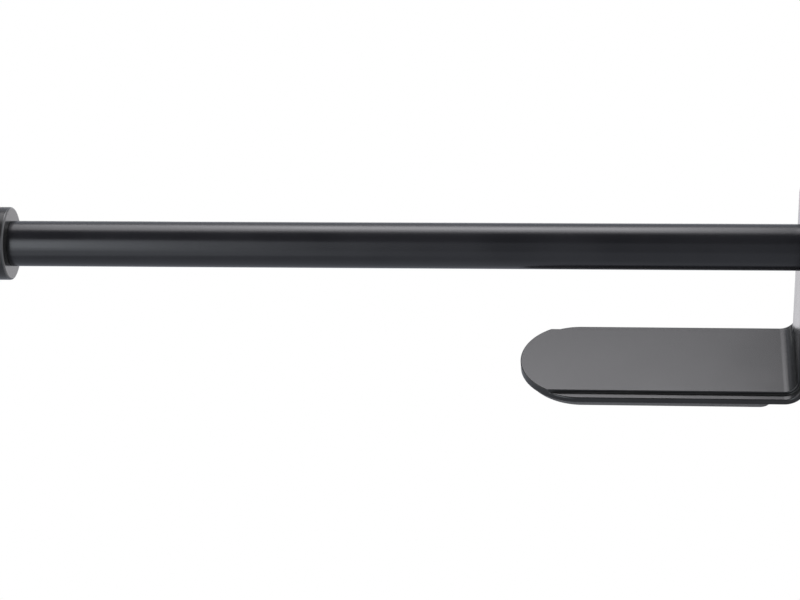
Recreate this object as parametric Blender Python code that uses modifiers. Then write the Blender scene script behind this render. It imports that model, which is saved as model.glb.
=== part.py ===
"""Wall paper towel holder: a bent bracket with an adhesive pad, a bar and an end disc.

Metres, +Z up. The wall is the plane Y = 0 and the room lies on the -Y side.
The origin is the centre of the pad's back face. The bar lies along X, with the
arm at its +X end and its free end at -X.
"""

from math import cos, pi, radians, sin, sqrt

import bmesh
import bpy

# Bracket strip
strip_width = 0.048
strip_thickness = 0.0035
rim_width = 0.0035
rim_step = 0.0012
bend_inner_radius = 0.005
plate_reach = 0.109
axis_height = 0.0545

# Adhesive pad
pad_thickness = 0.0016
pad_length = 0.0972
pad_side_inset = 0.0008
pad_tip_inset = 0.002
pad_corner_radius = 0.0045

# Bar
bar_diameter = 0.018
bar_wall = 0.0012
bar_length = 0.3094
bar_edge_bevel = 0.0003

# End disc and the spigot that centres it in the bar
disc_diameter = 0.029
disc_thickness = 0.010
disc_edge_radius = 0.0006
spigot_length = 0.003
spigot_bevel = 0.0004

# Threaded plugs inside the bar
arm_plug_length = 0.020
disc_plug_length = 0.014
plug_bevel = 0.0006

# Thread shared by the screw, the stud and the tapped holes
thread_diameter = 0.005
thread_bevel = 0.0006

# Countersunk screw through the arm
screw_length = 0.018
screw_head_diameter = 0.010
screw_head_edge = 0.0003
screw_sink = 0.0002
screw_socket_across = 0.003
screw_socket_depth = 0.0019

# Set screw between the disc and its plug
stud_length = 0.016
stud_reach_in_disc = 0.0063
stud_socket_across = 0.0025
stud_socket_depth = 0.002

# Fits
seat_gap = 0.0003
bore_clearance = 0.0003
bore_end_room = 0.0012
cut_overrun = 0.004
weld_distance = 0.00001

# Counts and angles
bend_segments = 12
round_end_segments = 40
corner_segments = 6
edge_segments = 4
bar_steps = 64
disc_steps = 80
thread_steps = 32
smooth_angle = radians(35)
flat_angle = radians(0.5)

# Finishes: colour, roughness and metallic value
black_coat = ((0.02, 0.02, 0.022), 0.35, 0.0)
pad_foam = ((0.12, 0.12, 0.125), 0.8, 0.0)
turned_metal = ((0.6, 0.6, 0.61), 0.35, 1.0)
black_steel = ((0.03, 0.03, 0.032), 0.4, 0.6)

# Places worked out from the sizes above
plate_back_y = -(pad_thickness + seat_gap)
plate_face_y = plate_back_y - strip_thickness
axis_y = plate_face_y - axis_height
plate_end_x = -pad_length / 2 - pad_tip_inset
arm_face_x = plate_end_x + plate_reach
end_radius = strip_width / 2
arm_tip_y = axis_y - end_radius
land_half_width = strip_width / 2 - rim_width
bar_radius = bar_diameter / 2
plug_radius = bar_radius - bar_wall - bore_clearance
thread_radius = thread_diameter / 2
tapped_radius = thread_radius + bore_clearance
bar_end_height = seat_gap + bar_length
disc_face_height = bar_end_height + seat_gap
screw_top_height = screw_sink - strip_thickness


def clear_scene():
    for item in list(bpy.data.objects):
        bpy.data.objects.remove(item, do_unlink=True)


def new_collection(name):
    collection = bpy.data.collections.new(name)
    bpy.context.scene.collection.children.link(collection)
    return collection


def new_material(name, colour, roughness, metallic):
    material = bpy.data.materials.new(name)
    material.use_nodes = True
    shader = material.node_tree.nodes["Principled BSDF"]
    shader.inputs["Base Color"].default_value = (*colour, 1.0)
    shader.inputs["Roughness"].default_value = roughness
    shader.inputs["Metallic"].default_value = metallic
    material.diffuse_color = (*colour, 1.0)
    return material


def add_part(item, collection, finish):
    """Links a part's object and gives it a material of its own."""
    collection.objects.link(item)
    item.data.materials.clear()
    item.data.materials.append(new_material(item.name + "_finish", *finish))


def add_cutter(item, collection):
    item.hide_render = True
    item.display_type = "WIRE"
    collection.objects.link(item)


def add_boolean(item, operation, other):
    modifier = item.modifiers.new(operation.lower() + "_" + other.name, "BOOLEAN")
    modifier.operation = operation
    modifier.object = other
    modifier.solver = "EXACT"


def arc(centre_x, centre_y, radius, start, end, segments):
    """Points on an arc from the start angle to the end angle, both ends included."""
    angles = [start + (end - start) * step / segments for step in range(segments + 1)]
    return [(centre_x + radius * cos(angle), centre_y + radius * sin(angle)) for angle in angles]


def evaluated_mesh(item, name):
    """The object's mesh with its modifiers: welded, its flat faces joined, its curved ones smooth."""
    depsgraph = bpy.context.evaluated_depsgraph_get()
    mesh = bpy.data.meshes.new_from_object(item.evaluated_get(depsgraph))
    mesh.name = name
    work = bmesh.new()
    work.from_mesh(mesh)
    bmesh.ops.remove_doubles(work, verts=work.verts, dist=weld_distance)
    bmesh.ops.dissolve_limit(work, angle_limit=flat_angle, verts=work.verts, edges=work.edges)
    work.to_mesh(mesh)
    work.free()
    mesh.shade_smooth()
    mesh.set_sharp_from_angle(angle=smooth_angle)
    return mesh


def solid_from_guide(guide, name):
    """A new object with the guide's evaluated mesh. The guide is removed."""
    solid = bpy.data.objects.new(name, evaluated_mesh(guide, name))
    bpy.data.objects.remove(guide, do_unlink=True)
    return solid


def apply_modifiers(item):
    mesh = evaluated_mesh(item, item.name)
    item.modifiers.clear()
    item.data = mesh


def flat_solid(name, outline, thickness):
    """A closed outline in the local XY plane, with half its thickness on each side of it."""
    curve = bpy.data.curves.new(name, "CURVE")
    curve.dimensions = "2D"
    curve.fill_mode = "BOTH"
    curve.extrude = thickness / 2
    spline = curve.splines.new("POLY")
    spline.points.add(len(outline) - 1)
    for point, (x, y) in zip(spline.points, outline):
        point.co = (x, y, 0.0, 1.0)
    spline.use_cyclic_u = True
    guide = bpy.data.objects.new(name + "_guide", curve)
    bpy.context.scene.collection.objects.link(guide)
    return solid_from_guide(guide, name)


def turned_solid(name, profile, steps, hollow=False):
    """A profile of (radius, height) pairs turned about local Z. It runs down the outer side.

    A hollow profile is a closed loop clear of the axis, and any other starts and ends on it.
    """
    edges = [(index, index + 1) for index in range(len(profile) - 1)]
    if hollow:
        edges.append((len(profile) - 1, 0))
    mesh = bpy.data.meshes.new(name + "_profile")
    mesh.from_pydata([(radius, 0.0, height) for radius, height in profile], edges, [])
    guide = bpy.data.objects.new(name + "_guide", mesh)
    bpy.context.scene.collection.objects.link(guide)
    turn = guide.modifiers.new("turn", "SCREW")
    turn.axis = "Z"
    turn.angle = 2 * pi
    turn.steps = steps
    turn.render_steps = steps
    turn.use_merge_vertices = True
    turn.merge_threshold = weld_distance
    return solid_from_guide(guide, name)


def hex_prism(name, across_flats, height):
    """A six-sided prism about local Z, centred on its origin."""
    corner_radius = across_flats / 2 / cos(pi / 6)
    mesh = bpy.data.meshes.new(name)
    work = bmesh.new()
    bmesh.ops.create_cone(
        work, cap_ends=True, segments=6, radius1=corner_radius, radius2=corner_radius, depth=height
    )
    work.to_mesh(mesh)
    work.free()
    return bpy.data.objects.new(name, mesh)


def strip_side_outline(inner_depth, outer_depth, overrun):
    """The bent strip seen along Z, between two depths below its inner face.

    Both ends run past their round ends by the overrun, and the end cutters trim them.
    """
    bend_x = arm_face_x - bend_inner_radius
    bend_y = plate_face_y - bend_inner_radius
    plate_x = plate_end_x - overrun
    tip_y = arm_tip_y - overrun
    inner_bend = arc(bend_x, bend_y, bend_inner_radius + inner_depth, pi / 2, 0, bend_segments)
    outer_bend = arc(bend_x, bend_y, bend_inner_radius + outer_depth, 0, pi / 2, bend_segments)
    outline = [(plate_x, plate_face_y + inner_depth)]
    outline += inner_bend
    outline += [(arm_face_x + inner_depth, tip_y), (arm_face_x + outer_depth, tip_y)]
    outline += outer_bend
    outline += [(plate_x, plate_face_y + outer_depth)]
    return outline


def end_trim_outline():
    """What is trimmed off a strip's end, round centre at the origin and tip along local +X."""
    outer = end_radius + 2 * cut_overrun
    outline = arc(0.0, 0.0, end_radius, pi / 2, -pi / 2, round_end_segments)
    outline += [(0.0, -outer), (outer, -outer), (outer, outer), (0.0, outer)]
    return outline


def make_bracket(parts, cutters, bar_axis):
    """The rabbeted strip: a wide base with a narrower land on it, bent, with round ends."""
    bracket = flat_solid(
        "bracket", strip_side_outline(rim_step, strip_thickness, cut_overrun), strip_width
    )
    add_part(bracket, parts, black_coat)
    land_root_depth = (rim_step + strip_thickness) / 2
    land = flat_solid(
        "land", strip_side_outline(0.0, land_root_depth, cut_overrun / 2), 2 * land_half_width
    )
    add_cutter(land, cutters)
    add_boolean(bracket, "UNION", land)

    trim_height = 2 * (strip_thickness + cut_overrun)
    plate_trim = flat_solid("plate_end_trim", end_trim_outline(), trim_height)
    plate_trim.location = (plate_end_x + end_radius, plate_face_y, 0.0)
    plate_trim.rotation_euler = (pi / 2, 0.0, pi)
    arm_trim = flat_solid("arm_end_trim", end_trim_outline(), trim_height)
    arm_trim.location = (arm_face_x, axis_y, 0.0)
    arm_trim.rotation_euler = (pi / 2, 0.0, -pi / 2)
    for trim in (plate_trim, arm_trim):
        add_cutter(trim, cutters)
        add_boolean(bracket, "DIFFERENCE", trim)

    # The countersink follows the head's cone at the bore clearance, measured square to the cone
    cone_offset = bore_clearance * sqrt(2)
    sink_radius = screw_head_diameter / 2 + cone_offset + screw_sink + screw_head_edge
    cone_depth = sink_radius - tapped_radius
    sink_profile = [
        (0.0, cut_overrun),
        (tapped_radius, cut_overrun),
        (tapped_radius, cone_depth - strip_thickness),
        (sink_radius + cut_overrun, -strip_thickness - cut_overrun),
        (0.0, -strip_thickness - cut_overrun),
    ]
    screw_hole = turned_solid("screw_hole", sink_profile, thread_steps)
    screw_hole.parent = bar_axis
    add_cutter(screw_hole, cutters)
    add_boolean(bracket, "DIFFERENCE", screw_hole)
    apply_modifiers(bracket)


def make_pad(parts):
    """The adhesive pad: narrower than the plate, round at its tip, its straight end short of the bend."""
    half_width = strip_width / 2 - pad_side_inset
    tip_x = -pad_length / 2
    end_x = pad_length / 2
    corner_x = end_x - pad_corner_radius
    corner_y = half_width - pad_corner_radius
    outline = arc(tip_x + half_width, 0.0, half_width, pi / 2, 3 * pi / 2, round_end_segments)
    outline += arc(corner_x, -corner_y, pad_corner_radius, -pi / 2, 0, corner_segments)
    outline += arc(corner_x, corner_y, pad_corner_radius, 0, pi / 2, corner_segments)
    pad = flat_solid("adhesive_pad", outline, pad_thickness)
    pad.location = (0.0, -pad_thickness / 2, 0.0)
    pad.rotation_euler = (pi / 2, 0.0, 0.0)
    add_part(pad, parts, pad_foam)


def sleeve_profile(outer_radius, inner_radius, length, bevel):
    """A tube from height zero up to its length, with both outer and inner edges chamfered."""
    return [
        (outer_radius - bevel, length),
        (outer_radius, length - bevel),
        (outer_radius, bevel),
        (outer_radius - bevel, 0.0),
        (inner_radius + bevel, 0.0),
        (inner_radius, bevel),
        (inner_radius, length - bevel),
        (inner_radius + bevel, length),
    ]


def make_bar(parts, bar_axis):
    bore_radius = bar_radius - bar_wall
    profile = sleeve_profile(bar_radius, bore_radius, bar_length, bar_edge_bevel)
    bar = turned_solid("bar_tube", profile, bar_steps, hollow=True)
    bar.parent = bar_axis
    bar.location.z = seat_gap
    add_part(bar, parts, black_coat)


def make_plug(name, length, base_height, parts, bar_axis):
    """A plug that fits the bar's bore, tapped from end to end."""
    profile = sleeve_profile(plug_radius, tapped_radius, length, plug_bevel)
    plug = turned_solid(name, profile, bar_steps, hollow=True)
    plug.parent = bar_axis
    plug.location.z = base_height
    add_part(plug, parts, turned_metal)


def make_screw(parts, cutters, bar_axis):
    """The countersunk screw. Its head lies in the arm and its thread runs along the bar."""
    head_radius = screw_head_diameter / 2
    cone_height = head_radius - thread_radius
    profile = [
        (0.0, screw_length),
        (thread_radius - thread_bevel, screw_length),
        (thread_radius, screw_length - thread_bevel),
        (thread_radius, screw_head_edge + cone_height),
        (head_radius, screw_head_edge),
        (head_radius, 0.0),
        (0.0, 0.0),
    ]
    screw = turned_solid("fixing_screw", profile, thread_steps)
    screw.parent = bar_axis
    screw.location.z = screw_top_height
    add_part(screw, parts, black_steel)

    socket = hex_prism("screw_socket", screw_socket_across, 2 * screw_socket_depth)
    socket.parent = bar_axis
    socket.location.z = screw_top_height
    add_cutter(socket, cutters)
    add_boolean(screw, "DIFFERENCE", socket)
    apply_modifiers(screw)


def make_stud(parts, cutters, bar_axis):
    """The set screw: one end in the disc and the other, with its socket, in the plug."""
    base_height = disc_face_height + stud_reach_in_disc - stud_length
    profile = [
        (0.0, stud_length),
        (thread_radius - thread_bevel, stud_length),
        (thread_radius, stud_length - thread_bevel),
        (thread_radius, thread_bevel),
        (thread_radius - thread_bevel, 0.0),
        (0.0, 0.0),
    ]
    stud = turned_solid("disc_stud", profile, thread_steps)
    stud.parent = bar_axis
    stud.location.z = base_height
    add_part(stud, parts, black_steel)

    socket = hex_prism("stud_socket", stud_socket_across, 2 * stud_socket_depth)
    socket.parent = bar_axis
    socket.location.z = base_height
    add_cutter(socket, cutters)
    add_boolean(stud, "DIFFERENCE", socket)
    apply_modifiers(stud)


def make_disc(parts, bar_axis):
    """The end disc with its spigot and the blind tapped hole for the stud."""
    radius = disc_diameter / 2
    edge = disc_edge_radius
    bore_top = stud_reach_in_disc + bore_end_room
    profile = [(0.0, disc_thickness)]
    profile += arc(radius - edge, disc_thickness - edge, edge, pi / 2, 0, edge_segments)
    profile += arc(radius - edge, edge, edge, 0, -pi / 2, edge_segments)
    profile += [
        (plug_radius, 0.0),
        (plug_radius, spigot_bevel - spigot_length),
        (plug_radius - spigot_bevel, -spigot_length),
        (tapped_radius, -spigot_length),
        (tapped_radius, bore_top),
        (0.0, bore_top),
    ]
    disc = turned_solid("end_disc", profile, disc_steps)
    disc.parent = bar_axis
    disc.location.z = disc_face_height
    add_part(disc, parts, black_coat)


def main():
    clear_scene()
    parts = new_collection("wall_paper_towel_holder")
    cutters = new_collection("cutters")

    # Heights along the bar run on this empty's local Z, from the arm's inner face to the free end
    bar_axis = bpy.data.objects.new("bar_axis", None)
    bar_axis.location = (arm_face_x, axis_y, 0.0)
    bar_axis.rotation_euler = (0.0, -pi / 2, 0.0)
    parts.objects.link(bar_axis)

    make_bracket(parts, cutters, bar_axis)
    make_pad(parts)
    make_bar(parts, bar_axis)
    make_plug("arm_end_plug", arm_plug_length, seat_gap, parts, bar_axis)
    make_screw(parts, cutters, bar_axis)
    disc_plug_base = disc_face_height - spigot_length - seat_gap - disc_plug_length
    make_plug("disc_end_plug", disc_plug_length, disc_plug_base, parts, bar_axis)
    make_stud(parts, cutters, bar_axis)
    make_disc(parts, bar_axis)


main()
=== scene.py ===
# Looks of the wall paper towel holder: finer surfaces, finishes, studio and the photographed view
from math import cos, pi, radians, sin, tan

import bmesh
import bpy
import numpy as np
from mathutils import Matrix, Vector


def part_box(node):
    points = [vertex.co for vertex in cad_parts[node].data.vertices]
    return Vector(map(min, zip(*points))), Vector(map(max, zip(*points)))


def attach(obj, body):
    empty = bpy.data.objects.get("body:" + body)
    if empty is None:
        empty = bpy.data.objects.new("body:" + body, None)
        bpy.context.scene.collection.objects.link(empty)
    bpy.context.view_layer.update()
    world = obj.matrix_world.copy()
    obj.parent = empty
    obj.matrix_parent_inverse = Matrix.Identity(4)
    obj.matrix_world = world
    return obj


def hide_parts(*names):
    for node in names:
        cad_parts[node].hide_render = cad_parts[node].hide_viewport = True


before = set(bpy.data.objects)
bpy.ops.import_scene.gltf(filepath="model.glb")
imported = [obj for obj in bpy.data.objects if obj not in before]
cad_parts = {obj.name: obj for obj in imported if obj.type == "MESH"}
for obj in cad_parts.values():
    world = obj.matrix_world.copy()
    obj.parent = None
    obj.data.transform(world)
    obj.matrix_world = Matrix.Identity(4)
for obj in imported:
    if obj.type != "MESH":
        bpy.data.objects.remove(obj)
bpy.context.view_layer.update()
print("frame loaded with", len(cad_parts), "nodes")

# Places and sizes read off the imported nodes
bracketLow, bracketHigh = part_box("bracket")
padLow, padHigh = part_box("adhesive_pad")
barLow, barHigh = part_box("bar_tube")
discLow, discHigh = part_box("end_disc")
screwLow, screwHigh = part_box("fixing_screw")
studLow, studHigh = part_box("disc_stud")
axisY = (barLow.y + barHigh.y) / 2
axisZ = (barLow.z + barHigh.z) / 2
barRadius = (barHigh.z - barLow.z) / 2
weldDistance = 0.000002
contactGap = 0.00001  # pieces that touch stand this far apart
padFrontY = bracketHigh.y + contactGap
sharpAngle = radians(35)
fullBend = 0.004  # a round has its full share of edge or corner from this bend up


# An object at the origin, in the scene
def addObject(name, data):
    item = bpy.data.objects.new(name, data)
    bpy.context.scene.collection.objects.link(item)
    return item


# Meshes from grids of points

# Quads over a grid of points, rows around and columns along. Points that coincide are welded,
# and a closed surface's faces point outwards.
def gridMesh(name, points, closeAround=True, closeAlong=False):
    rows, columns = points.shape[:2]
    index = np.arange(rows * columns).reshape(rows, columns)
    if closeAround:
        index = np.vstack([index, index[:1]])
    if closeAlong:
        index = np.hstack([index, index[:, :1]])
    quads = np.stack([index[:-1, :-1], index[1:, :-1], index[1:, 1:], index[:-1, 1:]], axis=-1)
    mesh = bpy.data.meshes.new(name)
    mesh.from_pydata(points.reshape(-1, 3).tolist(), [], quads.reshape(-1, 4).tolist())
    work = bmesh.new()
    work.from_mesh(mesh)
    bmesh.ops.remove_doubles(work, verts=work.verts, dist=weldDistance)
    if work.calc_volume(signed=True) < 0:
        bmesh.ops.reverse_faces(work, faces=work.faces)
    work.to_mesh(mesh)
    work.free()
    return mesh


# Writes two shares to each vertex: edge on convex rounds, corner on hollow ones, 0 on flats.
# The bend is 1 minus the dot product of the vertex normal and its least aligned face normal.
# Its sign is that of the way from the vertex to the mean of its neighbours, along the normal.
def markEdges(mesh):
    count = len(mesh.vertices)
    place = np.empty(count * 3)
    mesh.vertices.foreach_get("co", place)
    place = place.reshape(-1, 3)
    normal = np.empty(count * 3)
    mesh.vertex_normals.foreach_get("vector", normal)
    normal = normal.reshape(-1, 3)
    corner = np.empty(len(mesh.loops), dtype=np.int64)
    mesh.loops.foreach_get("vertex_index", corner)
    sides = np.empty(len(mesh.polygons), dtype=np.int64)
    mesh.polygons.foreach_get("loop_total", sides)
    faceNormal = np.empty(len(mesh.polygons) * 3)
    mesh.polygon_normals.foreach_get("vector", faceNormal)
    cornerNormal = np.repeat(faceNormal.reshape(-1, 3), sides, axis=0)
    bend = np.zeros(count)
    np.maximum.at(bend, corner, 1 - np.einsum("ij,ij->i", normal[corner], cornerNormal))
    ends = np.empty(len(mesh.edges) * 2, dtype=np.int64)
    mesh.edges.foreach_get("vertices", ends)
    ends = ends.reshape(-1, 2)
    pull = np.zeros((count, 3))
    way = place[ends[:, 1]] - place[ends[:, 0]]
    way /= np.maximum(np.linalg.norm(way, axis=1, keepdims=True), weldDistance)
    np.add.at(pull, ends[:, 0], way)
    np.add.at(pull, ends[:, 1], -way)
    inward = np.einsum("ij,ij->i", pull, normal) < 0
    share = np.clip(bend / fullBend, 0, 1)
    for label, values in (("edge", share * inward), ("corner", share * ~inward)):
        attribute = mesh.attributes.new(label, "FLOAT", "POINT")
        attribute.data.foreach_set("value", values.astype(np.float32))


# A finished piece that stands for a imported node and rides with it
def addPiece(name, mesh, material, nodeName):
    mesh.shade_smooth()
    mesh.set_sharp_from_angle(angle=sharpAngle)
    markEdges(mesh)
    mesh.materials.clear()
    mesh.materials.append(material)
    piece = addObject(name, mesh)
    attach(piece, "root")
    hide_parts(nodeName)


# Radius and place along X, turned about the bar's axis: y and z are radius times cos and sin
def turnedPoints(radius, along, steps):
    turn = np.arange(steps) * 2 * pi / steps
    radius = np.broadcast_to(radius, (steps, np.shape(radius)[-1]))
    x = np.broadcast_to(along, radius.shape)
    y = axisY + radius * np.cos(turn)[:, None]
    z = axisZ + radius * np.sin(turn)[:, None]
    return np.stack([x, y, z], axis=-1)


# A polyline of (radius, along) corners with each inner corner rounded to its own radius.
# A round is a quadratic arc between the two points that lie its radius from the corner, and
# a support point stands just outside each end of it, so that the straight runs stay straight.
def roundedProfile(corners, rounds, roundSteps, support):
    points = [corners[0]]
    share = np.linspace(0, 1, roundSteps + 1)[:, None]
    for before, here, after, size in zip(corners[:-2], corners[1:-1], corners[2:], rounds):
        before, here, after = map(np.array, (before, here, after))
        back = (before - here) / np.linalg.norm(before - here)
        ahead = (after - here) / np.linalg.norm(after - here)
        if size == 0:
            points.append(here)
            continue
        start, end = here + back * size, here + ahead * size
        curve = (1 - share) ** 2 * start + 2 * share * (1 - share) * here + share**2 * end
        points += [start + back * support, *curve, end + ahead * support]
    points.append(corners[-1])
    return np.array(points, dtype=float)


# Materials

mottleSpan = (0.35, 0.65)  # a noise turns one colour into the other between these
wearSpan = (0.3, 0.7)  # and low wear or roughness into high between these
softDetail, fineDetail = 4.0, 2.0  # finer layers in a noise: more in clouds, fewer in grain
noiseMiddle = 0.5


# A material's nodes, added and joined in one call each
class NodeDesk:
    def __init__(self, name):
        self.material = bpy.data.materials.new(name)
        self.material.use_nodes = True
        self.tree = self.material.node_tree
        self.shader = self.tree.nodes["Principled BSDF"]

    def add(self, kind, settings=None, **inputs):
        node = self.tree.nodes.new(kind)
        for key, value in (settings or {}).items():
            setattr(node, key, value)
        for key, value in inputs.items():
            self.feed(node, key.replace("_", " "), value)
        return node

    def feed(self, node, socketName, value):
        socket = node.inputs[int(socketName)] if socketName.isdigit() else node.inputs[socketName]
        if isinstance(value, bpy.types.NodeSocket):
            self.tree.links.new(value, socket)
        else:
            socket.default_value = value

    def objectPlace(self):
        return self.add("ShaderNodeTexCoord").outputs["Object"]

    def math(self, operation, first, second=0.5, third=None):
        node = self.add("ShaderNodeMath", {"operation": operation})
        self.feed(node, "0", first)
        self.feed(node, "1", second)
        if third is not None:
            self.feed(node, "2", third)
        return node.outputs[0]

    def mapRange(self, value, low, high, newLow, newHigh):
        node = self.add(
            "ShaderNodeMapRange",
            Value=value, From_Min=low, From_Max=high, To_Min=newLow, To_Max=newHigh,
        )
        return node.outputs[0]

    # The mix node's colours are its inputs 6 and 7 and its output 2
    def mixColour(self, share, first, second):
        node = self.add("ShaderNodeMix", {"data_type": "RGBA"})
        for place, value in ((0, share), (6, first), (7, second)):
            self.feed(node, str(place), value)
        return node.outputs[2]

    def noise(self, place, scale, detail=3.0, roughness=0.5):
        node = self.add(
            "ShaderNodeTexNoise", Vector=place, Scale=scale, Detail=detail, Roughness=roughness
        )
        return node.outputs[0]

    # Two colours shared out by a noise, with soft borders
    def mottle(self, cloud, first, second):
        return self.mixColour(self.mapRange(cloud, *mottleSpan, 0.0, 1.0), first, second)

    def attribute(self, name):
        return self.add("ShaderNodeAttribute", {"attribute_name": name}).outputs["Fac"]

    # Gives the surface a relief, from its height in metres
    def relief(self, height):
        bump = self.add("ShaderNodeBump", Strength=1.0, Distance=1.0, Height=height)
        self.feed(self.shader, "Normal", bump.outputs[0])


def grey(level, blue=1.06):
    return (level, level, level * blue, 1.0)


# Satin black coat: soft mottling, peel and grain in the bump, lighter convex edges that are partly
# rubbed wear and partly a painted highlight, a few dust specks
def makeCoat(name, look):
    desk = NodeDesk(name)
    place = desk.objectPlace()
    cloud = desk.noise(place, look["cloudScale"], softDetail)
    grain = desk.noise(place, look["grainScale"], fineDetail, look["grainCrispness"])
    peel = desk.noise(place, look["peelScale"], fineDetail)
    edge = desk.attribute("edge")
    corner = desk.attribute("corner")

    colour = desk.mottle(cloud, grey(look["dark"], look["blue"]), grey(look["light"], look["blue"]))
    # Convex edges are mixed towards a lighter grey: partly rubbed wear, partly a painted highlight
    # along the rounded edges
    edgeWearAndPaintedHighlight = desk.math("MULTIPLY", edge, desk.mapRange(cloud, *wearSpan, *look["edgeWearAndHighlightShares"]))
    colour = desk.mixColour(edgeWearAndPaintedHighlight, colour, grey(look["edgeWearAndPaintedHighlight"]))
    speckCell = desk.add("ShaderNodeTexVoronoi", Vector=place, Scale=look["speckScale"])
    speckSize = desk.mapRange(
        speckCell.outputs["Color"], look["bareCells"], 1.0, 0.0, look["speckShare"]
    )
    speck = desk.math("LESS_THAN", speckCell.outputs["Distance"], speckSize)
    dust = grey(look["dust"], 1.0)
    colour = desk.mixColour(desk.math("MULTIPLY", speck, look["speckCover"]), colour, dust)
    colour = desk.mixColour(desk.math("MULTIPLY", corner, look["cornerShare"]), colour, dust)
    desk.feed(desk.shader, "Base Color", colour)

    rough = desk.mapRange(cloud, *wearSpan, look["roughLow"], look["roughHigh"])
    offMiddle = desk.math("SUBTRACT", grain, noiseMiddle)
    rough = desk.math("MULTIPLY_ADD", offMiddle, look["grainRough"], rough)
    rough = desk.math("MULTIPLY_ADD", edge, look["edgeRough"], rough)
    desk.feed(desk.shader, "Roughness", rough)

    height = desk.math("MULTIPLY", peel, look["peelHeight"])
    desk.relief(desk.math("MULTIPLY_ADD", grain, look["grainHeight"], height))
    desk.shader.inputs["IOR"].default_value = look["index"]
    return desk.material


coatLook = {
    "dark": 0.012,
    "light": 0.016,
    "blue": 1.0,
    "edgeWearAndPaintedHighlight": 0.030,
    "dust": 0.10,
    "edgeWearAndHighlightShares": (0.2, 0.8),
    "cornerShare": 0.05,
    "speckScale": 90.0,
    "speckShare": 0.018,
    "speckCover": 0.6,
    "bareCells": 0.8,  # this share of the speck cells has none
    "cloudScale": 38.0,
    "grainScale": 5200.0,
    "grainCrispness": 0.6,
    "peelScale": 650.0,
    "peelHeight": 0.0000003,
    "grainHeight": 0.0000003,
    "roughLow": 0.19,
    "roughHigh": 0.25,
    "grainRough": 0.04,
    "edgeRough": -0.06,
    "index": 1.6,
}
stripCoat = makeCoat("satinStripCoat", coatLook)
barCoat = makeCoat("satinBarCoat", coatLook | {"light": 0.015, "blue": 1.2})
# On the disc the lighter edge colour is brighter and covers more of the edge: a painted highlight
# along its rounded rim
discCoat = makeCoat("satinDiscCoat", coatLook | {
    "dark": 0.019, "light": 0.023, "edgeWearAndPaintedHighlight": 0.09, "edgeWearAndHighlightShares": (0.6, 1.0), "speckScale": 140.0,
    "index": 1.5,
})


# Foam tape: dark cellular core between two thin, smoother adhesive films, mottled all over
def makeFoam(look):
    desk = NodeDesk("foamTape")
    place = desk.objectPlace()
    depth = desk.add("ShaderNodeSeparateXYZ", Vector=place).outputs["Y"]
    middle, half = (padFrontY + padHigh.y) / 2, (padHigh.y - padFrontY) / 2
    offMiddle = desk.math("ABSOLUTE", desk.math("SUBTRACT", depth, middle))
    blendStart = half - look["film"] * look["filmBlend"]
    film = desk.mapRange(offMiddle, blendStart, half - look["film"], 0.0, 1.0)
    cellNode = desk.add("ShaderNodeTexVoronoi", Vector=place, Scale=look["cellScale"])
    cells = cellNode.outputs["Distance"]
    cloud = desk.noise(place, look["cloudScale"])
    cellShare = desk.mapRange(cells, *look["cellSpan"], 0.0, 1.0)
    core = desk.mixColour(cellShare, grey(look["cellDark"]), grey(look["cellLight"]))
    skin = desk.mottle(cloud, grey(look["filmDark"]), grey(look["filmLight"]))
    desk.feed(desk.shader, "Base Color", desk.mixColour(film, core, skin))
    rough = desk.mapRange(film, 0.0, 1.0, look["coreRough"], look["filmRough"])
    desk.feed(desk.shader, "Roughness", rough)
    height = desk.math("MULTIPLY", cells, desk.mapRange(film, 0.0, 1.0, look["cellHeight"], 0.0))
    desk.relief(desk.math("MULTIPLY_ADD", cloud, look["cloudHeight"], height))
    return desk.material


foamLook = {
    "film": 0.00012,
    "filmBlend": 1.3,  # the film has passed into the core this many films deep
    "cellSpan": (0.1, 0.6),
    "cellScale": 6500.0,
    "cloudScale": 260.0,
    "cellDark": 0.06,
    "cellLight": 0.16,
    "filmDark": 0.07,
    "filmLight": 0.10,
    "coreRough": 0.9,
    "filmRough": 0.55,
    "cellHeight": 0.00005,
    "cloudHeight": 0.00002,
}
foamTape = makeFoam(foamLook)


# Turned metal: fine rings about the bar's axis and along it, smudged by a slow noise
def makeTurned(name, look):
    desk = NodeDesk(name)
    toAxis = (0.0, -axisY, -axisZ)
    mapping = desk.add("ShaderNodeMapping", Vector=desk.objectPlace(), Location=toAxis)
    centred = mapping.outputs[0]
    split = desk.add("ShaderNodeSeparateXYZ", Vector=centred)
    squares = [desk.math("POWER", split.outputs[side], 2.0) for side in "YZ"]
    fromAxis = desk.math("SQRT", desk.math("ADD", *squares))
    ringPlace = desk.math("ADD", fromAxis, split.outputs["X"])
    ring = desk.math("SINE", desk.math("MULTIPLY", ringPlace, 2 * pi / look["ringPitch"]))
    smudge = desk.noise(centred, look["smudgeScale"], softDetail)
    grain = desk.noise(centred, look["grainScale"], fineDetail)
    colour = desk.mottle(smudge, grey(look["dark"], look["blue"]), grey(look["light"], look["blue"]))
    desk.feed(desk.shader, "Base Color", colour)
    rough = desk.mapRange(smudge, *wearSpan, look["roughLow"], look["roughHigh"])
    desk.feed(desk.shader, "Roughness", rough)
    height = desk.math("MULTIPLY", ring, look["ringHeight"])
    desk.relief(desk.math("MULTIPLY_ADD", grain, look["grainHeight"], height))
    desk.shader.inputs["Metallic"].default_value = look["metallic"]
    return desk.material


plugLook = {
    "ringPitch": 0.0002,
    "ringHeight": 0.0000025,
    "smudgeScale": 120.0,
    "grainScale": 3000.0,
    "grainHeight": 0.000001,
    "dark": 0.50,
    "light": 0.62,
    "blue": 1.02,
    "roughLow": 0.28,
    "roughHigh": 0.42,
    "metallic": 1.0,
}
plugMetal = makeTurned("turnedPlugMetal", plugLook)
oxideSteel = makeTurned("blackOxideSteel", plugLook | {
    "ringPitch": 0.00012, "ringHeight": 0.000001, "dark": 0.022, "light": 0.036, "metallic": 0.6,
})
print("materials made")


# The bracket: the strip's edge profile carried round its outline, then bent to an L

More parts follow.
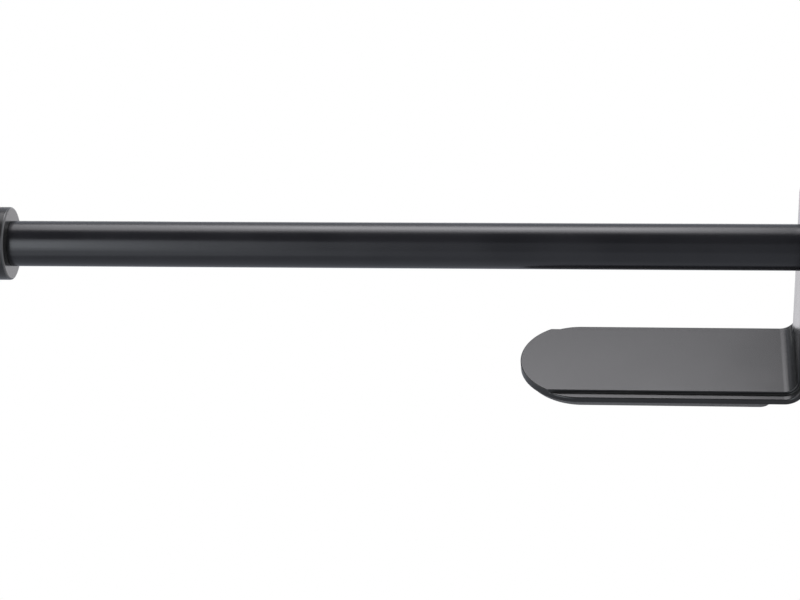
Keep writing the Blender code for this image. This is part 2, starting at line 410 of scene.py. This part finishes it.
bracketShape = {
    "thickness": 0.0035,
    "rimWidth": 0.0035,
    "rimStep": 0.0012,
    "bendRadius": 0.005,
    "landRound": 0.0004,
    "rimRound": 0.0006,
    "backRound": 0.0003,
    "cornerRound": 0.00025,
    "support": 0.00005,
    "faceShares": (0.0, 0.3, 0.6, 0.9),
    "roundSteps": 6,
    "endSteps": 120,
    "plateSteps": 24,
    "bendSteps": 28,
    "armSteps": 16,
}
plateFaceY = bracketHigh.y - bracketShape["thickness"]
armFaceX = bracketHigh.x - bracketShape["thickness"]
plateRun = armFaceX - bracketShape["bendRadius"] - bracketLow.x
armRun = plateFaceY - bracketShape["bendRadius"] - bracketLow.y
bendEnd = plateRun + bracketShape["bendRadius"] * pi / 2


# Places along a strip and the ways out from them, once round its outline. The ways go straight
# to each side along the runs, and fan out about the first and the last of them.
def stripLoop(runs, fanSteps):
    fan = np.linspace(-pi / 2, pi / 2, fanSteps + 1)[1:-1]
    first, last = runs[0], runs[-1]
    centre = np.concatenate([runs, np.full(fan.size, last), runs[::-1], np.full(fan.size, first)])
    along = np.concatenate([0 * runs, np.cos(fan), 0 * runs, -np.cos(fan)])
    across = np.concatenate([0 * runs - 1, np.sin(fan), 0 * runs + 1, -np.sin(fan)])
    return centre, along, across, fan


# How far the surface reaches along each way, and how deep it lies, from front centre to back
# centre. The land's side stands at one distance across the strip, so along a slanted way it is
# that distance divided by the way's share across. Where this passes the outline, it stops there.
def stripProfile(shape, across, halfWidth):
    quarter = np.linspace(0, pi / 2, shape["roundSteps"] + 1)[None, :]
    landEdge, rimEdge, backEdge = shape["landRound"], shape["rimRound"], shape["backRound"]
    hollow, gap = shape["cornerRound"], shape["support"]
    step, thickness = shape["rimStep"], shape["thickness"]
    slant = np.maximum(np.abs(across), weldDistance)[:, None]
    land = halfWidth - shape["rimWidth"]
    ones = np.ones_like(slant)

    def landReach(inset):
        return np.minimum((land - inset) / slant, halfWidth - np.maximum(inset, 0))

    topShare = np.array([shape["faceShares"]])
    front = landReach(np.array([[landEdge + gap]]))
    wall = landReach(np.zeros((1, 1)))
    foot = landReach(-hollow * (1 - np.cos(quarter)))
    ledgeStart = foot[:, -1:]
    ledgeEnd = np.maximum((halfWidth - rimEdge) * ones, ledgeStart)
    brow = np.maximum(halfWidth - rimEdge * (1 - np.sin(quarter)), ledgeStart)
    side = halfWidth * ones
    backCurve = halfWidth - backEdge * (1 - np.cos(quarter)) * ones
    backReach = (halfWidth - backEdge - gap) * ones
    reach = [
        front * topShare, front,
        landReach(landEdge * (1 - np.sin(quarter))),
        wall, wall, foot,
        np.minimum(ledgeStart + gap, ledgeEnd), np.maximum(ledgeEnd - gap, ledgeStart),
        brow,
        side, side,
        backCurve,
        backReach, backReach * topShare[:, ::-1],
    ]
    flat = np.zeros_like(topShare)
    depth = [
        flat, flat[:, :1],
        landEdge * (1 - np.cos(quarter)),
        flat[:, :1] + landEdge + gap, flat[:, :1] + step - hollow - gap,
        step - hollow * (1 - np.sin(quarter)),
        flat[:, :1] + step, flat[:, :1] + step,
        step + rimEdge * (1 - np.cos(quarter)),
        flat[:, :1] + step + rimEdge + gap, flat[:, :1] + thickness - backEdge - gap,
        thickness - backEdge * (1 - np.sin(quarter)),
        flat[:, :1] + thickness, flat + thickness,
    ]
    return np.hstack(reach), np.hstack(depth)


# The strip's flat places bent to the L. Depth counts outwards from the L's inner face. Along
# the plate x runs on, in the bend x and y turn about its centre, along the arm y runs back.
def bentPlace(shape, along, across, depth):
    bend = shape["bendRadius"]
    turn = np.clip((along - plateRun) / bend, 0, pi / 2)
    bentX = armFaceX - bend + (bend + depth) * np.sin(turn)
    x = np.where(along < plateRun, bracketLow.x + along, bentX)
    y = plateFaceY - bend + (bend + depth) * np.cos(turn)
    y -= np.maximum(along - bendEnd, 0)
    return np.stack([x, y, np.broadcast_to(across, x.shape)], axis=-1)


def makeBracketMesh(shape):
    halfWidth, gap = bracketHigh.z, shape["support"]
    runs = np.concatenate([
        np.linspace(halfWidth, plateRun - gap, shape["plateSteps"]),
        np.linspace(plateRun, bendEnd, shape["bendSteps"] + 1),
        np.linspace(bendEnd + gap, bendEnd + armRun - halfWidth, shape["armSteps"]),
    ])
    centre, along, across, _ = stripLoop(runs, shape["endSteps"])
    reach, depth = stripProfile(shape, across, halfWidth)
    flatAlong = centre[:, None] + along[:, None] * reach
    flatAcross = across[:, None] * reach
    return gridMesh("bracketSurface", bentPlace(shape, flatAlong, flatAcross, depth))


sinkShape = {
    "headGap": 0.0003,
    "mouthRound": 0.0002,
    "flareSteps": 6,
    "throatRadius": 0.0028,
    "steps": 96,
    "overrun": 0.004,
}


# The countersunk hole through the arm: a 45 degree cone, then a plain bore
def makeSinkCutter(shape):
    faceX, throat = bracketHigh.x, shape["throatRadius"]
    start, end = faceX + shape["overrun"], barHigh.x - shape["overrun"]
    headRadius = (screwHigh.z - screwLow.z) / 2
    mouth = headRadius + shape["headGap"] + faceX - screwHigh.x
    flare = np.linspace(1, 0, shape["flareSteps"])
    flareRadius = mouth + shape["mouthRound"] * flare**2
    flareX = faceX - shape["mouthRound"] * (1 - flare)
    coneEnd = flareX[-1] - (mouth - throat)
    radius = np.concatenate([[0.0, flareRadius[0]], flareRadius, [throat, throat, 0.0]])
    along = np.concatenate([[start, start], flareX, [coneEnd, end, end]])
    points = turnedPoints(radius, along, shape["steps"])
    return addObject("sinkCutter", gridMesh("sinkCutter", points))


# The mesh with the cutter's body taken out of it and slivers welded. The cutter is removed.
def cutMesh(mesh, cutter):
    guide = addObject("cutGuide", mesh)
    cut = guide.modifiers.new("cut", "BOOLEAN")
    cut.operation = "DIFFERENCE"
    cut.solver = "EXACT"
    cut.object = cutter
    finished = guide.evaluated_get(bpy.context.evaluated_depsgraph_get())
    result = bpy.data.meshes.new_from_object(finished)
    bpy.data.objects.remove(guide)
    bpy.data.objects.remove(cutter)
    work = bmesh.new()
    work.from_mesh(result)
    bmesh.ops.dissolve_degenerate(work, dist=weldDistance, edges=work.edges)
    work.to_mesh(result)
    work.free()
    return result


bracketMesh = cutMesh(makeBracketMesh(bracketShape), makeSinkCutter(sinkShape))
addPiece("bracket_skin", bracketMesh, stripCoat, "bracket")
print("bracket made:", len(bracketMesh.polygons), "faces")


# The foam pad: the same way round, with a fuller profile and a square end

padShape = {
    "cornerRadius": 0.0045,
    "edgeRound": 0.00012,
    "waist": 0.00006,
    "support": 0.00004,
    "faceShares": (0.0, 0.35, 0.7),
    "sideSteps": 40,
    "fanSteps": 96,
    "roundSteps": 3,
    "waistSteps": 8,
}


# How far a square with rounded corners reaches at an angle from its centre: the nearer side's
# distance along the way or, in a corner, that of the far crossing with the corner's circle
def squareReach(angle, half, corner):
    c, s = np.abs(np.cos(angle)), np.abs(np.sin(angle))
    side = half / np.maximum(c, s)
    inner = half - corner
    along = inner * (c + s)
    circle = along + np.sqrt(np.maximum(corner**2 - 2 * inner**2 + along**2, 0))
    inCorner = (side * c > inner) & (side * s > inner)
    return np.where(inCorner, circle, side)


def makePadMesh(shape):
    half = padHigh.z
    left, right = padLow.x + half, padHigh.x - half
    runs = np.linspace(left, right, shape["sideSteps"])
    centre, along, across, fan = stripLoop(runs, shape["fanSteps"])
    sideReach = np.full(runs.size, half)
    endReach = squareReach(fan, half, shape["cornerRadius"])
    outline = np.concatenate([sideReach, endReach, sideReach, np.full(fan.size, half)])[:, None]
    quarter = np.linspace(0, pi / 2, shape["roundSteps"] + 1)[None, :]
    edge, gap = shape["edgeRound"], shape["support"]
    thickness = padHigh.y - padFrontY
    waistPlace = np.linspace(0, 1, shape["waistSteps"])[None, :]
    topShare = np.array([shape["faceShares"]])
    inset = np.hstack([
        edge * (1 - np.sin(quarter)),
        shape["waist"] * np.sin(pi * waistPlace),
        edge * (1 - np.cos(quarter)),
    ])
    rim = outline - edge - gap
    reach = np.hstack([rim * topShare, rim, outline - inset, rim, rim * topShare[:, ::-1]])
    flat = np.zeros((1, topShare.size + 1))
    depth = np.hstack([
        flat,
        edge * (1 - np.cos(quarter)),
        edge + (thickness - 2 * edge) * waistPlace,
        thickness - edge * (1 - np.sin(quarter)),
        flat + thickness,
    ])
    x = centre[:, None] + along[:, None] * reach
    z = across[:, None] * reach
    y = padFrontY + np.broadcast_to(depth, x.shape)
    return gridMesh("padSurface", np.stack([x, y, z], axis=-1))


padMesh = makePadMesh(padShape)
addPiece("adhesive_pad_skin", padMesh, foamTape, "adhesive_pad")
print("pad made:", len(padMesh.polygons), "faces")


# The end disc with its spigot and blind hole

discShape = {
    "spigotLength": 0.003,
    "spigotRadius": 0.0075,
    "boreRadius": 0.0028,
    "boreDepth": 0.0105,
    "edgeRound": 0.0008,
    "spigotRound": 0.0004,
    "support": 0.00006,
    "roundSteps": 8,
    "steps": 288,
}


def makeDiscMesh(shape):
    radius = (discHigh.z - discLow.z) / 2
    outer, spigotEnd = discLow.x, discHigh.x
    inner = spigotEnd - shape["spigotLength"]
    bore = shape["boreRadius"]
    corners = [
        (0.0, outer), (radius, outer), (radius, inner), (shape["spigotRadius"], inner),
        (shape["spigotRadius"], spigotEnd), (bore, spigotEnd),
        (bore, spigotEnd - shape["boreDepth"]), (0.0, spigotEnd - shape["boreDepth"]),
    ]
    rounds = [shape["edgeRound"], shape["edgeRound"], 0, shape["spigotRound"], 0, 0]
    profile = roundedProfile(corners, rounds, shape["roundSteps"], shape["support"])
    return gridMesh("discSurface", turnedPoints(profile[:, 0], profile[:, 1], shape["steps"]))


discMesh = makeDiscMesh(discShape)
addPiece("end_disc_skin", discMesh, discCoat, "end_disc")


# The bar: a tube with softly broken ends

barShape = {
    "wall": 0.0012,
    "edgeRound": 0.0003,
    "support": 0.00005,
    "roundSteps": 6,
    "steps": 256,
}


def makeBarMesh(shape):
    outer, inner = barRadius, barRadius - shape["wall"]
    start = discHigh.x - discShape["spigotLength"] + contactGap
    end = armFaceX - contactGap
    middle = (start + end) / 2
    corners = [
        (outer, middle), (outer, end), (inner, end), (inner, start), (outer, start), (outer, middle),
    ]
    rounds = [shape["edgeRound"]] * 4
    profile = roundedProfile(corners, rounds, shape["roundSteps"], shape["support"])
    points = turnedPoints(profile[:-1, 0], profile[:-1, 1], shape["steps"])
    return gridMesh("barSurface", points, closeAlong=True)


barMesh = makeBarMesh(barShape)
addPiece("bar_tube_skin", barMesh, barCoat, "bar_tube")
print("disc and bar made:", len(discMesh.polygons) + len(barMesh.polygons), "faces")


# The screw and the stud: a hexagon socket at one end and a helical thread

fastenerShape = {
    "threadRadius": 0.0025,
    "threadDepth": 0.00045,
    "threadFlat": 0.125,
    "pitch": 0.0008,
    "stepsPerTurn": 10,
    "threadFade": 0.0008,
    "tipBevel": 0.0006,
    "socketMouth": 0.00015,
    "steps": 96,
}
screwShape = fastenerShape | {
    "headRadius": 0.005, "headEdge": 0.0003, "socketAcross": 0.003, "socketDepth": 0.0019,
}
studShape = fastenerShape | {"socketAcross": 0.0025, "socketDepth": 0.002}


# Counted from the socket's end towards the tip: socket floor, hexagon walls, end face, then the
# flank. A hexagon reaches half its width across flats divided by the cosine of the angle off its
# flat. The thread's radius falls by its depth in a triangle wave of place over pitch plus turn,
# which is stretched and cut off so that crests and roots are flat.
def fastenerPoints(shape, top, tip):
    turn = np.arange(shape["steps"])[:, None] * 2 * pi / shape["steps"]
    ones = np.ones_like(turn)
    hexagon = shape["socketAcross"] / 2 / np.cos(np.mod(turn, pi / 3) - pi / 6)
    mouth, depth = shape["socketMouth"], shape["socketDepth"]
    radius = [ones * 0, hexagon, hexagon, hexagon + mouth]
    down = [depth + mouth, depth, mouth, 0.0]
    thread, bevel, flat = shape["threadRadius"], shape["tipBevel"], shape["threadFlat"]
    length = abs(top - tip)
    if "headRadius" in shape:
        head, edge = shape["headRadius"], shape["headEdge"]
        radius += [ones * (head - mouth / 2), ones * head, ones * head, ones * thread]
        down += [0.0, mouth / 2, edge, edge + head - thread]
    else:
        radius += [ones * (thread - bevel), ones * thread]
        down += [0.0, bevel]
    start, end = down[-1], length - bevel
    columns = int((end - start) / shape["pitch"] * shape["stepsPerTurn"])
    place = np.linspace(start, end, columns)[None, 1:-1]
    wave = 2 * np.abs(np.mod(place / shape["pitch"] + turn / (2 * pi), 1) - 0.5)
    fade = np.clip(np.minimum(place - start, end - place) / shape["threadFade"], 0, 1)
    groove = np.clip((1 + 2 * flat) * wave - flat, 0, 1)
    flank = thread - shape["threadDepth"] * groove * fade
    radius = np.hstack(radius + [flank, ones * thread, ones * (thread - bevel), ones * 0])
    down = np.concatenate([down, place[0], [end, length, length]])
    return turnedPoints(radius, top + np.sign(tip - top) * down, shape["steps"])


screwMesh = gridMesh("screwSurface", fastenerPoints(screwShape, screwHigh.x, screwLow.x))
addPiece("fixing_screw_skin", screwMesh, oxideSteel, "fixing_screw")
studMesh = gridMesh("studSurface", fastenerPoints(studShape, studHigh.x, studLow.x))
addPiece("disc_stud_skin", studMesh, oxideSteel, "disc_stud")
print("screw and stud made:", len(screwMesh.polygons) + len(studMesh.polygons), "faces")

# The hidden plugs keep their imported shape
for nodeName in ("arm_end_plug", "disc_end_plug"):
    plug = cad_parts[nodeName]
    plug.data.materials.clear()
    plug.data.materials.append(plugMetal)


# Studio: world, floor, soft boxes and glowing cards. Directions from its centre have two angles
# in degrees: the climb turns about the bar from straight down, over the room at 90, to straight
# up, and the side leans towards the arm. The photographed view is from a climb of about 35.

studio = {
    "worldLevel": 0.6,
    "centre": Vector((-0.1, -0.04, 0.0)),
    "lampDistance": 1.3,
    "cardDistance": 1.6,
    "cardSteps": 24,
    "blueTint": (0.95, 1.0, 1.13),
    "plainTint": (1.0, 0.99, 1.03),
    "coolTint": (0.94, 1.0, 1.06),
}

# Climb and side of the middle, half the climb and half the side that it spans, level and tint.
# The boxes lie over each other, because a real soft box is brightest in its middle.
softBoxes = {
    "topMiddle": (128, -4, 9, 9, 1.9, "plainTint"),
    "topBox": (127, -7, 19, 17, 2.0, "plainTint"),
    "topSpill": (128, -5, 29, 17, 0.7, "plainTint"),
    "leftMiddle": (29, -30, 14, 10, 1.2, "coolTint"),
    "leftBox": (28, -29, 25, 13, 0.75, "coolTint"),
    "leftSpill": (14, -27, 48, 18, 0.42, "coolTint"),
    "rightBox": (125, 53, 14, 14, 1.2, "plainTint"),
}

# First and last climb, first and last side, level and tint
cards = {
    "backCard": (-140, -50, -70, 20, 0.40, "blueTint"),
    "lowCard": (-50, 5, -57, 40, 0.345, "blueTint"),
    "middleCard": (5, 50, -57, 40, 0.22, "blueTint"),
    "highCard": (50, 155, -57, 25, 0.07, "blueTint"),
    "topCard": (155, 190, -29, 25, 0.50, "blueTint"),
    "bendCard": (155, 195, -57, -30, 0.11, "blueTint"),
    "armCard": (196, 219, -14, 24, 1.17, "plainTint"),
    "sideCard": (196, 219, -57, -15, 0.08, "blueTint"),
}


# A soft box whose face is level times as bright as white, facing the studio's centre with its
# width along the bar. It isn't in the picture, and each span is twice the distance times the
# tangent of its half angle.
def addSoftBox(name, climb, side, halfClimb, halfSide, level, tint):
    climb, side = radians(climb), radians(side)
    out = Vector((sin(side), -cos(side) * sin(climb), -cos(side) * cos(climb)))
    reach = 2 * studio["lampDistance"]
    lamp = bpy.data.lights.new(name, "AREA")
    lamp.shape = "RECTANGLE"
    lamp.size, lamp.size_y = reach * tan(radians(halfSide)), reach * tan(radians(halfClimb))
    lamp.energy = level * pi * lamp.size * lamp.size_y
    lamp.color = studio[tint]
    up = out.cross(Vector((1, 0, 0))).normalized()
    item = addObject(name, lamp)
    item.visible_camera = False
    item.rotation_mode = "QUATERNION"
    item.rotation_quaternion = Matrix((up.cross(out), up, out)).transposed().to_quaternion()
    item.location = studio["centre"] + out * studio["lampDistance"]


# A glowing band of a cylinder about the line through the studio's centre along the bar. Only
# reflections see it.
def addCard(name, firstClimb, lastClimb, firstSide, lastSide, level, tint):
    climb = np.radians(np.linspace(firstClimb, lastClimb, studio["cardSteps"]))[:, None]
    reach = studio["cardDistance"]
    centre = studio["centre"]
    x = centre.x + reach * np.tan(np.radians([[firstSide, lastSide]]))
    y = centre.y - reach * np.sin(climb)
    z = centre.z - reach * np.cos(climb)
    points = np.stack(np.broadcast_arrays(x, y, z), axis=-1)
    mesh = gridMesh(name, points, closeAround=False)
    desk = NodeDesk(name)
    glow = desk.add("ShaderNodeEmission", Color=(*studio[tint], 1.0), Strength=level)
    desk.feed(desk.tree.nodes["Material Output"], "Surface", glow.outputs[0])
    mesh.materials.append(desk.material)
    card = addObject(name, mesh)
    for ray in ("camera", "diffuse", "shadow", "transmission", "volume_scatter"):
        setattr(card, "visible_" + ray, False)


# One value for what the camera, reflections and transmission see, another for everything else
def backdropLevel(tree, seenLevel, hiddenLevel):
    path = tree.nodes.new("ShaderNodeLightPath")
    seen = path.outputs["Is Camera Ray"]
    for label in ("Is Glossy Ray", "Is Transmission Ray"):
        either = tree.nodes.new("ShaderNodeMath")
        either.operation = "MAXIMUM"
        tree.links.new(seen, either.inputs[0])
        tree.links.new(path.outputs[label], either.inputs[1])
        seen = either.outputs[0]
    level = tree.nodes.new("ShaderNodeMapRange")
    level.inputs["To Min"].default_value = hiddenLevel
    level.inputs["To Max"].default_value = seenLevel
    tree.links.new(seen, level.inputs["Value"])
    return level.outputs[0]


# White as a backdrop, plain grey as a light
def makeWorld(level):
    world = bpy.data.worlds.new("studioWorld")
    world.use_nodes = True
    tree = world.node_tree
    back = tree.nodes["Background"]
    back.inputs["Color"].default_value = grey(1.0, 1.0)
    tree.links.new(backdropLevel(tree, 1.0, level), back.inputs["Strength"])
    bpy.context.scene.world = world


floorShape = {
    "size": 40.0,
    "height": -2.0,
    "colour": 0.8,
    "darker": 0.98,
    "cloudScale": 3.0,
    "rough": 0.9,
    "lift": 0.5,
}


# A pale floor, lifted towards white as a backdrop only, so that it still takes shadows
def makeFloor(shape):
    half = shape["size"] / 2
    corners = [(-half, -half), (half, -half), (half, half), (-half, half)]
    mesh = bpy.data.meshes.new("floor")
    mesh.from_pydata([(*corner, shape["height"]) for corner in corners], [], [(0, 1, 2, 3)])
    desk = NodeDesk("floorPaint")
    cloud = desk.noise(desk.objectPlace(), shape["cloudScale"])
    dark, light = grey(shape["colour"] * shape["darker"], 1.0), grey(shape["colour"], 1.0)
    desk.feed(desk.shader, "Base Color", desk.mixColour(cloud, dark, light))
    desk.shader.inputs["Roughness"].default_value = shape["rough"]
    desk.shader.inputs["Emission Color"].default_value = grey(1.0, 1.0)
    desk.feed(desk.shader, "Emission Strength", backdropLevel(desk.tree, shape["lift"], 0.0))
    mesh.materials.append(desk.material)
    floor = addObject("floor", mesh)


makeWorld(studio["worldLevel"])
makeFloor(floorShape)
for name, box in softBoxes.items():
    addSoftBox(name, *box)
for name, card in cards.items():
    addCard(name, *card)


# Camera: its place beside the plate, measured from the photograph
photoView = {
    "lens": 106.88,
    "sensor": 36.0,
    "distance": 0.94463,
    "aimAlong": -0.156232,
    "aimOut": 0.028319,
    "yaw": radians(7.442),
    "tilt": radians(35.125),
    "roll": radians(-3.869),
}


# Looks up along the wall and in at the plate's face by the tilt, turned by the yaw about the
# face's normal, then rolled about its own line of sight
def makeCamera(view):
    along = Vector((1, 0, 0))
    across = Vector((0, 0, 1))
    out = Vector((0, -1, 0))
    level = across * cos(view["yaw"]) - along * sin(view["yaw"])
    ahead = level * cos(view["tilt"]) - out * sin(view["tilt"])
    right = along * cos(view["yaw"]) + across * sin(view["yaw"])
    up = right.cross(ahead)
    rolled = right * cos(view["roll"]) + up * sin(view["roll"])
    raised = up * cos(view["roll"]) - right * sin(view["roll"])
    aim = Vector((armFaceX + view["aimAlong"], plateFaceY - view["aimOut"], 0))
    camera = bpy.data.cameras.new("photoCamera")
    camera.lens = view["lens"]
    camera.sensor_width = view["sensor"]
    item = addObject("photoCamera", camera)
    item.rotation_mode = "QUATERNION"
    item.rotation_quaternion = Matrix((rolled, raised, -ahead)).transposed().to_quaternion()
    item.location = aim - ahead * view["distance"]
    bpy.context.scene.camera = item


makeCamera(photoView)
bpy.context.scene.view_settings.view_transform = "Standard"
print("studio and camera made")

bpy.context.view_layer.update()
